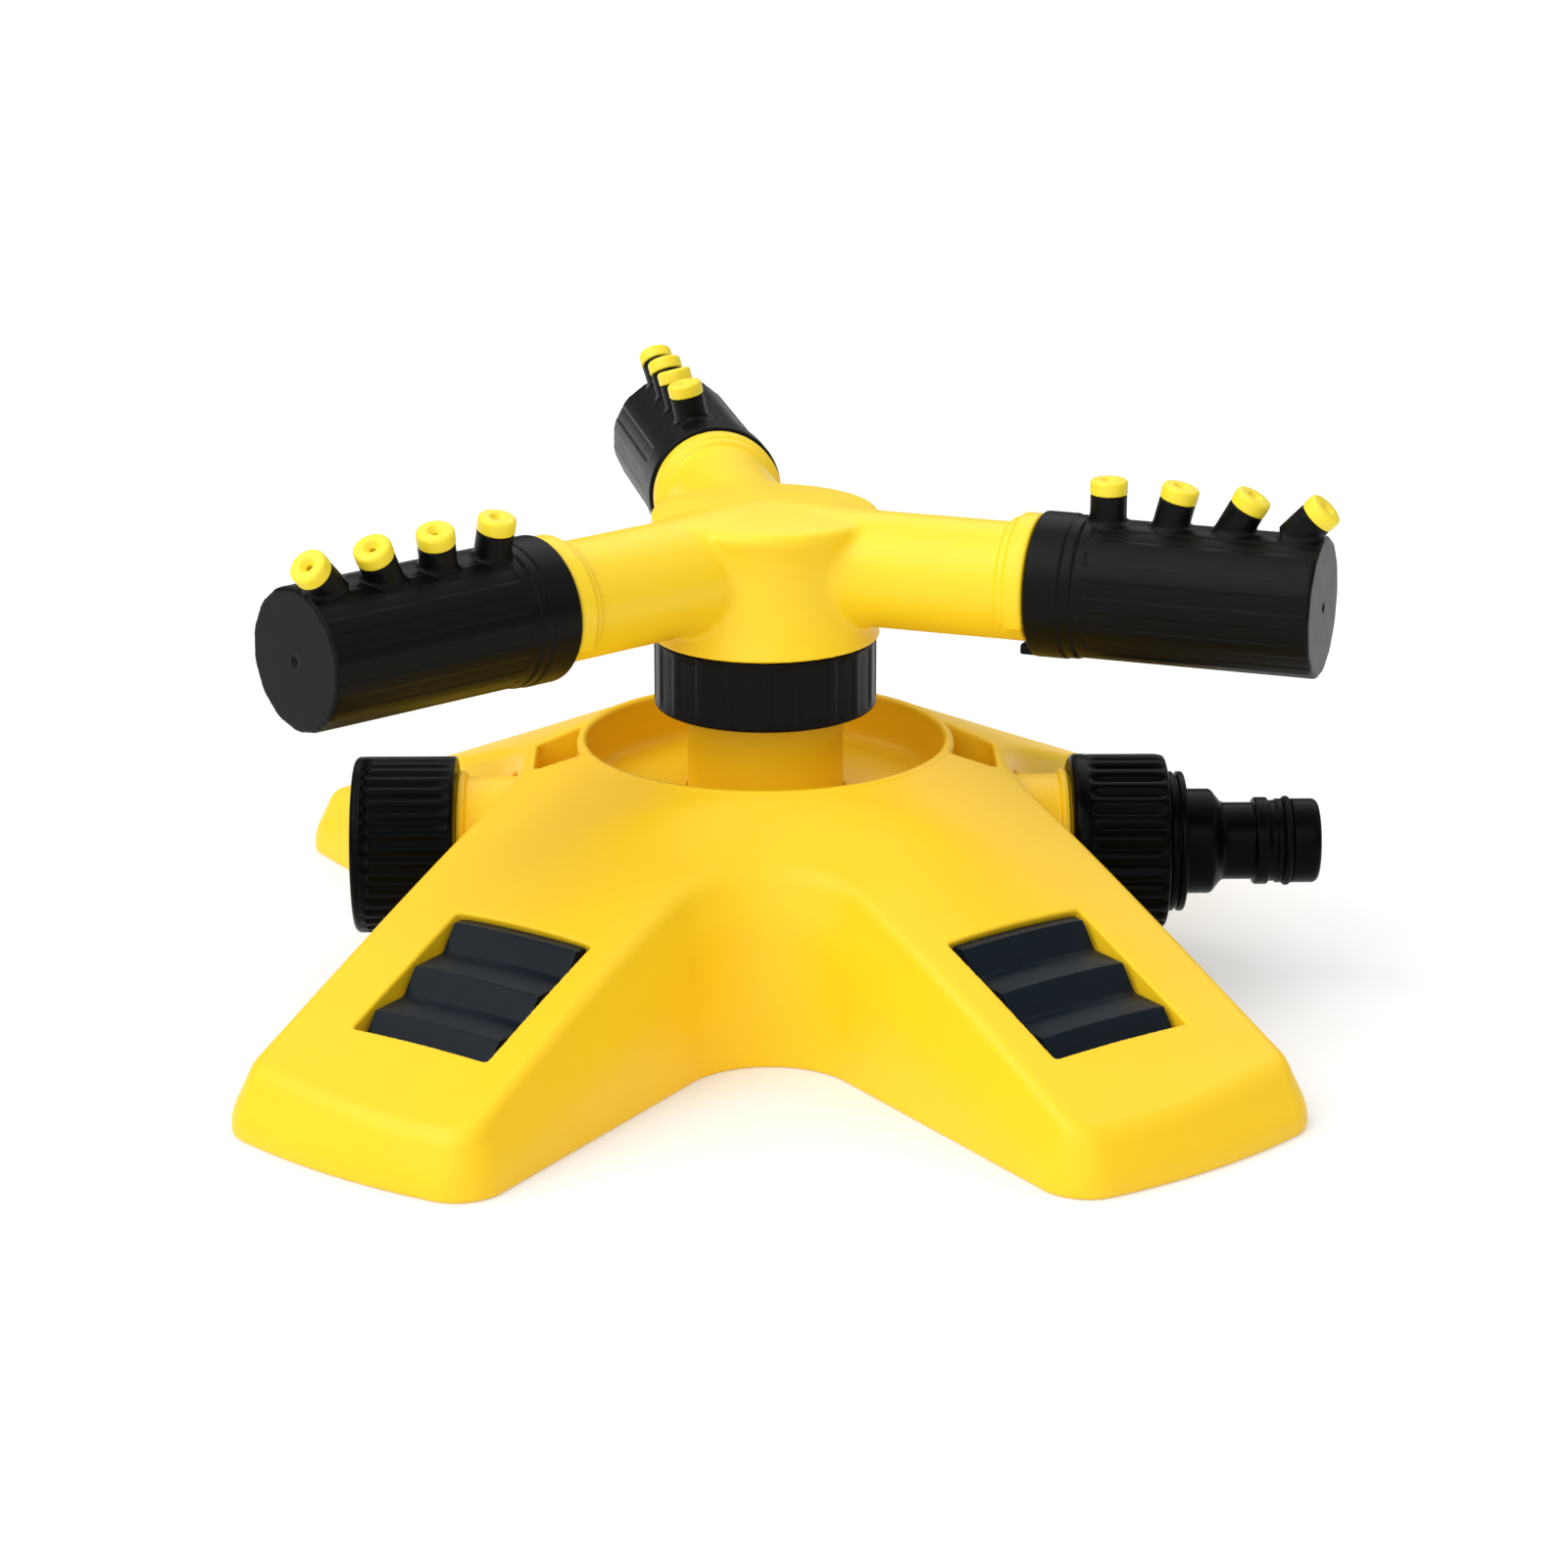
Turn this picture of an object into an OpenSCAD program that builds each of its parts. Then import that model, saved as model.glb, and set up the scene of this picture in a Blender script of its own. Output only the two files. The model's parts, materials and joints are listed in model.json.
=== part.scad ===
// Rotary lawn sprinkler: a four-legged base with a cross pipe, and a three-arm rotor that spins on a hollow post.
// +Z is up and +X runs along the cross pipe to the hose inlet. The origin is on the ground under the rotor axis.

/* [Base] */
// Distance from the rotor axis to the rounded end of a leg
leg_reach = 126.7; // [122:0.1:132]
// Width of a leg at the ground
leg_w = 60.2; // [56:0.1:61]
// Angle between a leg and the cross pipe
leg_angle = 57.2; // [54:0.1:59]
// Sideways offset of a leg's middle line from the rotor axis
leg_offset = 9.6; // [8:0.1:10]
// Radius of a leg's two end corners
leg_corner_r = 8; // [7:0.5:12]
// Height of a leg's top face at its end
leg_end_h = 10; // [8:0.5:14]
// Radius of the arch between two legs, front and rear
front_arch_r = 16.3; // [14:0.1:20]
// Radius of the arch that the cross pipe leaves through
side_arch_r = 25; // [20:1:30]
// Thickness of the moulded base
shell_wall = 2.4; // [1.8:0.1:3]

/* [Basin] */
// Inside radius of the splash basin
basin_r = 35; // [33:0.1:36]
// Height of the basin's rim
basin_rim_z = 48.3; // [47:0.1:50]
// Depth of the basin
basin_depth = 10; // [9:0.5:10.5]
// Thickness of the basin's wall
basin_wall = 1.7; // [1.4:0.1:2.2]

/* [Treads] */
// Length of a tread pocket along the leg
pocket_l = 33; // [30:0.5:36]
// Width of a tread pocket
pocket_w = 30; // [26:0.5:32]
// Depth of a tread pocket
pocket_d = 5; // [4:0.5:6]
// Number of ribs on a tread
tread_ribs = 3; // [2:1:4]

/* [Cross pipe] */
// Height of the pipe's axis
pipe_z = 26.6; // [26:0.1:27]
// Outside radius of the pipe's threaded ends
pipe_r = 13.2; // [13:0.05:13.4]
// Inside radius of the pipe's ends
pipe_bore_r = 9.5; // [8.5:0.1:10]
// Outside radius of the pipe's middle, under the basin
pipe_mid_r = 9.3; // [9:0.1:9.4]
// Outside radius of the upright post
post_r = 15; // [14:0.1:16]
// Distance from the rotor axis to the capped pipe end
cap_end_x = 76.5; // [75:0.1:78]
// Distance from the rotor axis to the inlet pipe end
inlet_end_x = 72; // [71:0.1:73]

/* [Caps and nuts] */
// Outside radius of the end cap and the hose nut
grip_r = 17.1; // [16.8:0.1:17.6]
// Length of the end cap
cap_l = 19.7; // [18:0.1:21]
// Ribs round the end cap
cap_ribs = 36; // [24:1:44]
// Flutes round the hose nut
nut_ribs = 28; // [20:1:36]
// Outside radius of the collar nut under the hub
collar_r = 21.3; // [21:0.1:22]
// Ribs round the collar nut
collar_ribs = 24; // [16:1:36]

/* [Hose nipple] */
// Outside radius of the nipple's plug end, which a hose coupler slides over
nipple_r = 8.2; // [8:0.05:8.4]
// Inside radius of the nipple
nipple_bore_r = 5.5; // [5:0.1:6]
// Distance from the rotor axis to the nipple's tip
nipple_tip_x = 107.4; // [106:0.1:109]

/* [Rotor] */
// Height of the arms' axes
arm_z = 83.5; // [83:0.1:84]
// Outside radius of an arm
arm_r = 11; // [10.5:0.1:11.5]
// Inside radius of an arm
arm_bore_r = 7; // [6:0.1:7.5]
// Direction of the first arm, from +X
arm_angle = -20; // [-180:1:180]
// Radius of the hub's top disc
hub_top_r = 22; // [21:0.1:23]
// Radius of the hub's waist
hub_waist_r = 17.5; // [17:0.1:18]

/* [Nozzle sleeves] */
// Distance from the rotor axis to a sleeve's closed end
sleeve_out = 107.7; // [106:0.1:109]
// Outside radius of a sleeve's collar
sleeve_collar_r = 13.6; // [13.4:0.1:13.8]
// Outside radius of a sleeve's fluted body
sleeve_r = 13.1; // [12.9:0.1:13.2]
// Flutes round a sleeve
sleeve_flutes = 14; // [12:1:20]
// Nozzles on a sleeve
nozzle_count = 4; // [2:1:4]
// Distance from the rotor axis to the first nozzle
nozzle_first = 67; // [66:0.1:68]
// Distance between two nozzles
nozzle_pitch = 11.8; // [11:0.1:12]
// Outward lean that each nozzle has more than the one before it
nozzle_lean = 14.5; // [10:0.5:15]

/* [Hidden] */
$fn = 64;
eps = 0.02;              // gap that keeps two touching pieces apart
run = 0.05;              // radial clearance of a turning fit

quads = [[-1, -1], [1, -1], [-1, 1], [1, 1]];
bevel_in = 3.5;          // how far the bevel steps in from the side wall
bevel_drop = 12;         // height of that bevel, below a leg's top face
basin_floor_z = basin_rim_z - basin_depth;
basin_out_r = basin_r + basin_wall;
top_slope = (basin_rim_z - leg_end_h) / (leg_reach - basin_out_r);
leg_slope = atan(top_slope);
slot_mid = basin_out_r + 4.1;    // middle of the slot beside the basin, along X
slot_size = [7.2, 19];           // and the slot's size along X and Y
pocket_t = 90.5;         // middle of a tread pocket, along the leg
pocket_n = 4.8;          // and sideways from the leg's middle line, towards the front or rear arch
pocket_turn = 2;         // turn of a pocket from the leg's middle line, towards the cross pipe
tread_gap = 1.2;         // gap beside a tread in its pocket
tread_top = -0.7;        // height of a tread's crests, from the leg's top face
tread_dip = -3.6;        // height of the dips between them
crest_x = 2.4;           // first crest, from the tread's uphill end
riser_l = 5;             // length of the drop after each crest

cap_out_x = cap_end_x + 3;
nut_in_x = 58.8;
nut_out_x = 77.5;
nut_nose_x = 81.1;
nut_wall_x = 75.5;
plug_x = 97.5;           // where the nipple's plug end begins
nipple_body_r = 10.2;
groove_x = [100.2, 102.1];

flange_z = [58.3, 60.7]; // the post's flange, which the collar nut hooks under
collar_z = [55.2, 68.8];
skirt_r = [17.9, 19.4];
hub_floor_z = 62.2;
hub_bottom_z = 69;
hub_edge_z = 93.2;
spindle_r = 9;
spindle_top_z = 77;
chamber_z = [75, 91.2];
seal_h = 1.7;

arm_count = 3;
arm_flange = [50.3, 54.2];
spigot_r = 9.9;
spigot_end = 69.6;
barb_x = 68.1;
ring_x = 62;             // middle of the arm's O-ring groove
sleeve_in = arm_flange[1] + 0.3;
flute_depth = 0.35;
tongue_half = 11;        // half angle of a sleeve's stop tongue
sleeve_turn = [0, -12, -14.5];   // turn of each sleeve on its arm, in the pose shown
stub_r = 3.4;
stub_top = 18;           // height of a nozzle stub above the arm's axis
tip_h = 2.8;
tip_r = 3.5;
tip_bore_r = 0.6;

screw_xy = [10, 22];
lug_z = [19, 22];

// Points of an arc about c, from angle a0 to angle a1.
function arc(c, r, a0, a1, n) = [for (i = [0:n]) let (a = a0 + (a1 - a0) * i / n) c + r * [cos(a), sin(a)]];

// Centre of a leg's end corner of radius rc, whose edge is side line n, for an end arc of radius re.
function corner(n, rc, re) = let (t = sqrt(pow(re - rc, 2) - n * n))
    t * [cos(leg_angle), sin(leg_angle)] + n * [sin(leg_angle), -cos(leg_angle)];

// One quarter of the base's outline, drawn in by o: side arch, leg end, front arch.
function quarter(o) =
    let (h = leg_w / 2, rc = leg_corner_r - o, re = leg_reach - o,
         side = [(leg_offset + h + side_arch_r) / sin(leg_angle), 0],
         front = [0, (h + front_arch_r - leg_offset) / cos(leg_angle)],
         outer = corner(leg_offset + h - leg_corner_r, rc, re),
         inner = corner(leg_offset - h + leg_corner_r, rc, re),
         ao = atan2(outer[1], outer[0]), ai = atan2(inner[1], inner[0]))
    concat(arc(side, side_arch_r + o, 180, leg_angle + 90, 5), arc(outer, rc, leg_angle - 90, ao, 4),
           arc([0, 0], re, ao + 1, ai - 1, 5), arc(inner, rc, ai, leg_angle + 90, 4),
           arc(front, front_arch_r + o, leg_angle - 90, -90, 6));

function reversed(p) = [for (i = [len(p) - 1:-1:0]) p[i]];
function flip(p, sx, sy) = [for (q = p) [sx * q[0], sy * q[1]]];

// The base's whole outline in plan, without repeating the points on the two axes.
function outline(o) =
    let (q = quarter(o), n = len(q), body = [for (i = [1:n - 2]) q[i]])
    concat([q[0]], body, [q[n - 1]], flip(reversed(body), -1, 1), [-q[0]], flip(body, -1, -1),
           [-q[n - 1]], flip(reversed(body), 1, -1));

// A ribbed outline: n ribs between radius r and radius r - depth.
module ribbed(n, r, depth) {
    polygon([for (i = [0:4 * n - 1]) let (rr = (i % 4 < 2) ? r : r - depth) rr * [cos(i * 90 / n), sin(i * 90 / n)]]);
}

// Puts its children on the cross pipe: their +Z runs along +X, from x.
module on_pipe(x) {
    translate([x, 0, pipe_z]) rotate([0, 90, 0]) children();
}

// Puts its children on a leg: their +X runs outwards along its middle line.
module on_leg(q) {
    mirror([q[0] < 0 ? 1 : 0, 0, 0]) mirror([0, q[1] < 0 ? 1 : 0, 0])
        rotate([0, 0, leg_angle]) translate([0, -leg_offset, 0]) children();
}

// Puts its children in the middle of a tread pocket's mouth: +X runs downhill and +Z is the face's normal.
module in_pocket(q) {
    on_leg(q) translate([pocket_t, pocket_n, leg_end_h + top_slope * (leg_reach - pocket_t)])
        rotate([0, 0, -pocket_turn]) rotate([0, leg_slope, 0]) children();
}

// Puts its children on arm i: their +Z runs outwards along the arm, and their +X points down.
module on_arm(i) {
    translate([0, 0, arm_z]) rotate([0, 0, arm_angle + 360 / arm_count * i]) rotate([0, 90, 0]) children();
}

// Puts its children at each nozzle of arm i: their +Z is the nozzle's own axis, from the arm's axis line.
module at_nozzles(i) {
    translate([0, 0, arm_z]) rotate([0, 0, arm_angle + 360 / arm_count * i]) rotate([sleeve_turn[i], 0, 0])
        for (k = [0:nozzle_count - 1]) {
            lean = nozzle_lean * k;
            base_x = nozzle_first + nozzle_pitch * k;
            translate([base_x, 0, sleeve_r]) rotate([0, lean, 0]) children();
        }
}

// Everything under the base's top face, drawn in by o, and lowered by d: a cone from the basin's rim to the legs.
module base_form(o, d) {
    intersection() {
        translate([0, 0, -1]) linear_extrude(basin_rim_z + 2) polygon(outline(o));
        rotate_extrude() polygon([[0, -2], [leg_reach + 5, -2], [leg_reach + 5, leg_end_h - 5 * top_slope - d],
                                  [basin_out_r, basin_rim_z - d], [0, basin_rim_z - d]]);
    }
}

// The moulded outer form: a full-width body up to the bevel, and a narrower one above it.
module base_outer() {
    union() {
        base_form(0, bevel_drop / 2);
        base_form(bevel_in, 0);
    }
}

module base_shell() {
    color("gold") difference() {
        union() {
            difference() {
                intersection() {
                    base_outer();
                    translate([-150, -150, 0]) cube([300, 300, 60]);
                }
                base_form(shell_wall + bevel_in, shell_wall * 1.1);
                base_form(shell_wall, bevel_drop / 2 + shell_wall * 1.1);
            }
            translate([0, 0, basin_floor_z - 2]) cylinder(r = basin_out_r, h = basin_depth + 2);
            // walls round the slots beside the basin
            for (s = [-1, 1]) translate([s * slot_mid, 0, basin_floor_z + 2.7])
                cube([slot_size[0] + 3.6, slot_size[1] + 3.6, 5], center = true);
            for (q = quads) {
                in_pocket(q) translate([-pocket_l / 2 - 1.8, -pocket_w / 2 - 1.8, -pocket_d - 1.8])
                    cube([pocket_l + 3.6, pocket_w + 3.6, pocket_d + 0.6]);
                translate([q[0] * screw_xy[0], q[1] * screw_xy[1], lug_z[1] + eps])
                    cylinder(r = 4, h = basin_floor_z - 1 - lug_z[1]);
            }
        }
        // the basin, and the hole that the post stands in
        translate([0, 0, basin_floor_z]) cylinder(r = basin_r, h = basin_depth + 5);
        translate([0, 0, basin_floor_z - 5]) cylinder(r = post_r + 0.2, h = 10);
        // side openings, which are open to the ground so that the pipe goes in from below
        for (s = [-1, 1]) {
            on_pipe(s > 0 ? 38 : -62) cylinder(r = pipe_r + 0.4, h = 24);
            translate([s > 0 ? 38 : -62, -pipe_r - 0.4, -1]) cube([24, 2 * pipe_r + 0.8, pipe_z + 1]);
            // slots beside the basin
            translate([s * slot_mid, 0, basin_floor_z + 10]) cube([slot_size[0], slot_size[1], 20], center = true);
        }
        for (q = quads) {
            in_pocket(q) translate([-pocket_l / 2, -pocket_w / 2, -pocket_d]) cube([pocket_l, pocket_w, 12]);
            translate([q[0] * screw_xy[0], q[1] * screw_xy[1], 0]) cylinder(r = 1.6, h = basin_floor_z - 4);
        }
    }
}

// Cross pipe, lugs and upright post in one moulding, with a foot at the middle.
module water_body() {
    color("goldenrod") difference() {
        union() {
            on_pipe(-cap_end_x) cylinder(r = pipe_r, h = cap_end_x - 41);
            on_pipe(41) cylinder(r = pipe_r, h = inlet_end_x - 41);
            on_pipe(-42) cylinder(r = pipe_mid_r, h = 84);
            cylinder(r = 10, h = pipe_z);
            translate([0, 0, pipe_z]) cylinder(r = post_r, h = flange_z[0] - pipe_z + eps);
            translate([0, 0, flange_z[0]]) cylinder(r = 17.6, h = flange_z[1] - flange_z[0]);
            for (s = [-1, 1]) translate([-14, s > 0 ? 0 : -27, lug_z[0]]) cube([28, 27, lug_z[1] - lug_z[0]]);
            // shoulders behind the end cap and the hose nut
            on_pipe(-cap_out_x + cap_l + 0.4) cylinder(r = pipe_r + 1, h = 1.6);
            on_pipe(nut_in_x - 2) cylinder(r = pipe_r + 1, h = 1.6);
        }
        on_pipe(-cap_end_x - 1) cylinder(r = pipe_bore_r, h = cap_end_x - 43);
        on_pipe(44) cylinder(r = pipe_bore_r, h = 40);
        on_pipe(-50) cylinder(r = 6.5, h = 100);
        translate([0, 0, pipe_z]) cylinder(r = 6.5, h = 60);
        translate([0, 0, 46]) cylinder(r = spindle_r, h = 60);
        for (q = quads) translate([q[0] * screw_xy[0], q[1] * screw_xy[1], lug_z[0] - 1]) cylinder(r = 1.9, h = 5);
    }
}

// Ribbed tread in its pocket, like stairs: each rib's top is nearly level, and drops steeply at its crest.
module tread(q) {
    l = pocket_l - 0.8;
    pitch = (l - crest_x - riser_l) / (tread_ribs - 1);
    rise = (tread_top - tread_dip) / (pitch - riser_l);
    color([0.12, 0.14, 0.16]) in_pocket(q) rotate([90, 0, 0]) translate([-l / 2, 0, -pocket_w / 2 + tread_gap])
        linear_extrude(pocket_w - 2 * tread_gap)
            polygon(concat([[0, -pocket_d + eps], [0, tread_top - crest_x * rise]],
                           [for (k = [0:tread_ribs - 1], p = [[0, tread_top], [riser_l, tread_dip]])
                               [crest_x + k * pitch + p[0], p[1]]],
                           [[l, -pocket_d + eps]]));
}

// Four pan-head screws, driven up through the lugs into the base's bosses.
module base_screws() {
    color("silver") for (q = quads) translate([q[0] * screw_xy[0], q[1] * screw_xy[1], 0]) difference() {
        union() {
            translate([0, 0, lug_z[0] - 2.4]) cylinder(r = 3.4, h = 2.4 - eps);
            translate([0, 0, lug_z[0] - 0.5]) cylinder(r = 1.6, h = 12);
        }
        for (a = [0, 90]) rotate([0, 0, a]) translate([-1.9, -0.4, lug_z[0] - 3]) cube([3.8, 0.8, 1.8]);
    }
}

module end_cap() {
    color([0.09, 0.09, 0.09]) difference() {
        union() {
            on_pipe(-cap_out_x) cylinder(r1 = grip_r - 2.2, r2 = grip_r - 0.8, h = 1.8 + eps);
            on_pipe(-cap_out_x + 1.8) linear_extrude(cap_l - 3) ribbed(cap_ribs, grip_r, 0.5);
            on_pipe(-cap_out_x + cap_l - 1.2 - eps) cylinder(r1 = grip_r - 0.8, r2 = grip_r - 1.5, h = 1.2 + eps);
        }
        on_pipe(-cap_end_x - 1 - eps) cylinder(r = pipe_r + run, h = 40);
    }
}

// Flat seal between the end cap and the pipe's end.
module end_cap_washer() {
    color([0.25, 0.25, 0.25]) on_pipe(-cap_end_x - 1) cylinder(r = pipe_r - 0.2, h = 1 - 2 * eps);
}

module hose_nut() {
    color([0.08, 0.08, 0.08]) difference() {
        union() {
            on_pipe(nut_in_x) cylinder(r1 = grip_r - 0.8, r2 = grip_r, h = 3.8);
            on_pipe(nut_in_x + 3) linear_extrude(nut_out_x - nut_in_x - 3) ribbed(nut_ribs, grip_r - 0.3, 0.8);
            on_pipe(nut_out_x) cylinder(r = 13.6, h = 1.4);
            on_pipe(nut_out_x) cylinder(r = 12.9, h = nut_nose_x - nut_out_x);
            on_pipe(nut_nose_x - 1.4) cylinder(r = 13.6, h = 1.4);
        }
        on_pipe(nut_in_x - 1) cylinder(r = pipe_r + run, h = nut_wall_x - nut_in_x + 1);
        on_pipe(nut_wall_x - 1) cylinder(r = nipple_body_r + run, h = 10);
    }
}

// Push-on hose nipple, with a flange that the nut pulls against the washer.
module hose_nipple() {
    color([0.06, 0.06, 0.06]) on_pipe(0) rotate_extrude() polygon(concat(
        [[nipple_bore_r, inlet_end_x + 1 + eps], [pipe_r - 0.3, inlet_end_x + 1 + eps],
         [pipe_r - 0.3, nut_wall_x - eps], [nipple_body_r, nut_wall_x - eps], [nipple_body_r, 86.6], [7.5, 88.5],
         [7.5, 94.8], [8.5, 94.8], [8.5, plug_x], [nipple_r, plug_x], [nipple_r, groove_x[0]],
         [7, groove_x[0]], [7, groove_x[1]], [nipple_r, groove_x[1]]],
        arc([nipple_r - 1.2, nipple_tip_x - 1.2], 1.2, 0, 90, 4), [[nipple_bore_r, nipple_tip_x]]));
}

module nipple_o_ring() {
    color([0.15, 0.15, 0.15]) on_pipe((groove_x[0] + groove_x[1]) / 2) rotate_extrude()
        translate([7.87, 0]) circle(r = 0.85);
}

module inlet_washer() {
    color([0.25, 0.25, 0.25]) on_pipe(inlet_end_x + eps) difference() {
        cylinder(r = pipe_r - 0.2, h = 1 - eps);
        translate([0, 0, -1]) cylinder(r = 8, h = 4);
    }
}

// Perforated disc in the pipe's mouth.
module inlet_filter() {
    color("gainsboro") on_pipe(inlet_end_x - 1.2) difference() {
        cylinder(r = pipe_bore_r - run, h = 1.1);
        for (n = [[1, 0], [6, 3], [12, 6]], k = [0:n[0] - 1])
            rotate([0, 0, 360 * k / n[0]]) translate([n[1], 0, -1]) cylinder(r = 0.8, h = 4);
    }
}

// Hollow bearing post that the hub turns on, pressed into the water body.
module spindle() {
    color("whitesmoke") difference() {
        translate([0, 0, 46 + eps]) cylinder(r = spindle_r, h = spindle_top_z - 46);
        translate([0, 0, 40]) cylinder(r = 6.5, h = 60);
    }
}

// Low-friction washer between the post's flange and the hub.
module thrust_washer() {
    color("ivory") difference() {
        translate([0, 0, flange_z[1] + eps]) cylinder(r = 16.8, h = 1.2);
        translate([0, 0, 50]) cylinder(r = spindle_r + 0.2, h = 20);
    }
}

// One arm's outside: tube, double flange, spigot, groove and snap barb.
module arm_solid() {
    translate([0, 0, 12.4]) cylinder(r = arm_r, h = arm_flange[1] - 12.4);
    difference() {
        union() {
            translate([0, 0, arm_flange[0] - 1.6]) cylinder(r = 12.3, h = 2);
            translate([0, 0, arm_flange[0]]) cylinder(r = 13, h = arm_flange[1] - arm_flange[0]);
        }
        // the gap at the bottom of the flange that a sleeve's stop tongue swings in
        linear_extrude(arm_flange[1] + 1) polygon([[0, 0], for (a = [-60:20:60]) 20 * [cos(a), sin(a)]]);
    }
    difference() {
        union() {
            translate([0, 0, arm_flange[0]]) cylinder(r = spigot_r, h = spigot_end - arm_flange[0]);
            translate([0, 0, barb_x]) cylinder(r1 = spigot_r + 0.45, r2 = spigot_r, h = spigot_end - barb_x);
        }
        translate([0, 0, ring_x - 1]) difference() {
            cylinder(r = 20, h = 2);
            translate([0, 0, -1]) cylinder(r = 8.1, h = 4);
        }
    }
}

module rotor_hub() {
    color("gold") difference() {
        union() {
            rotate_extrude() polygon(concat(
                [[0, hub_floor_z], [skirt_r[0], hub_floor_z], [skirt_r[0], 58.8], [skirt_r[1], 58.8],
                 [skirt_r[1], hub_bottom_z], [21, hub_bottom_z]],
                arc([hub_waist_r + 17.2, 80.6], 17.2, 217.2, 137.6, 10),
                [[hub_top_r, hub_edge_z - 0.6]],
                arc([0, hub_edge_z - 133.5], 135.3, 90 - 8.9, 90, 6)));
            for (i = [0:arm_count - 1]) on_arm(i) arm_solid();
        }
        translate([0, 0, 50]) cylinder(r = spindle_r + run, h = 30);
        translate([0, 0, chamber_z[0]]) cylinder(r = 12, h = chamber_z[1] - chamber_z[0]);
        for (i = [0:arm_count - 1]) on_arm(i) translate([0, 0, 8]) cylinder(r = arm_bore_r, h = 80);
    }
}

// Ring seal at the top of the spindle.
module rotor_seal() {
    color([0.2, 0.2, 0.2]) difference() {
        translate([0, 0, chamber_z[0] + eps]) cylinder(r = 12 - eps, h = seal_h);
        translate([0, 0, 70]) cylinder(r = spindle_r + run, h = 10);
    }
}

// Ribbed ring that screws on the hub's skirt and hooks under the post's flange.
module collar_nut() {
    color([0.1, 0.1, 0.1]) difference() {
        union() {
            translate([0, 0, collar_z[0]]) cylinder(r1 = collar_r - 0.9, r2 = collar_r - 0.4, h = 1 + eps);
            translate([0, 0, collar_z[0] + 1]) linear_extrude(collar_z[1] - collar_z[0] - 1)
                ribbed(collar_ribs, collar_r, 0.25);
        }
        translate([0, 0, 50]) cylinder(r = post_r + 0.35, h = 30);
        translate([0, 0, flange_z[0] - 0.3]) cylinder(r = skirt_r[1] + eps, h = 30);
    }
}

// Nozzle sleeve i: collar, fluted body, stop tongue and nozzle stubs, hollow for the water.
module sleeve(i) {
    color([0.08, 0.08, 0.09]) difference() {
        union() {
            on_arm(i) rotate([0, 0, sleeve_turn[i]]) {
                translate([0, 0, sleeve_in]) cylinder(r = sleeve_collar_r, h = 8);
                translate([0, 0, sleeve_in]) linear_extrude(sleeve_out - sleeve_in)
                    ribbed(sleeve_flutes, sleeve_r, flute_depth);
                difference() {
                    translate([0, 0, sleeve_in - 3.5]) cylinder(r = sleeve_collar_r, h = 4);
                    translate([0, 0, sleeve_in - 4]) cylinder(r = arm_r + 0.5, h = 5);
                    linear_extrude(80) polygon(concat([[0, 0]],
                        [for (a = [tongue_half:(360 - 2 * tongue_half) / 8:360 - tongue_half]) 30 * [cos(a), sin(a)]]));
                }
            }
            at_nozzles(i) translate([0, 0, -1.5]) cylinder(r = stub_r, h = stub_top - sleeve_r + 1.5);
        }
        on_arm(i) {
            translate([0, 0, 50]) cylinder(r = spigot_r + run, h = 30);
            translate([0, 0, barb_x - 0.3]) cylinder(r = 10.6, h = sleeve_out - barb_x - 3);
            translate([0, 0, sleeve_out - 0.5]) cylinder(r = 0.8, h = 2);
        }
        at_nozzles(i) translate([0, 0, -4]) cylinder(r = 1.4, h = 20);
    }
}

module arm_o_ring(i) {
    color([0.15, 0.15, 0.15]) on_arm(i) translate([0, 0, ring_x]) rotate_extrude()
        translate([9.04, 0]) circle(r = 0.9);
}

// The pressed-in tips of sleeve i, each with a fine water hole.
module nozzle_tips(i) {
    color([0.95, 0.9, 0.15]) at_nozzles(i) translate([0, 0, stub_top - sleeve_r + eps]) difference() {
        union() {
            cylinder(r = tip_r, h = tip_h);
            translate([0, 0, -3]) cylinder(r = 1.4 - eps, h = 3.5);
        }
        translate([0, 0, -5]) cylinder(r = tip_bore_r, h = 12);
        translate([0, 0, tip_h - 0.8]) cylinder(r1 = tip_bore_r, r2 = 1.4, h = 0.81);
    }
}

base_shell();
water_body();
tread(quads[0]);  // tread_front_left
tread(quads[1]);  // tread_front_right
tread(quads[2]);  // tread_rear_left
tread(quads[3]);  // tread_rear_right
base_screws();
end_cap();
end_cap_washer();
hose_nut();
hose_nipple();
nipple_o_ring();
inlet_washer();
inlet_filter();
spindle();
thrust_washer();
rotor_hub();
rotor_seal();
collar_nut();
sleeve(0);  // sleeve_1
sleeve(1);  // sleeve_2
sleeve(2);  // sleeve_3
arm_o_ring(0);  // arm_o_ring_1
arm_o_ring(1);  // arm_o_ring_2
arm_o_ring(2);  // arm_o_ring_3
nozzle_tips(0);  // nozzle_tips_1
nozzle_tips(1);  // nozzle_tips_2
nozzle_tips(2);  // nozzle_tips_3
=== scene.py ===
"""Looks of a rotary lawn sprinkler: a moulded four-legged base, a spinning hub and three nozzle sleeves.

Sizes are in millimetres, in the part's own frame, until a piece is made. Large mouldings are fields: a
function that is negative inside the plastic, with soft edges where two faces meet. Turned parts are lathed.
"""

import json
import math

import bpy
import numpy as np
from mathutils import Matrix, Vector


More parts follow.
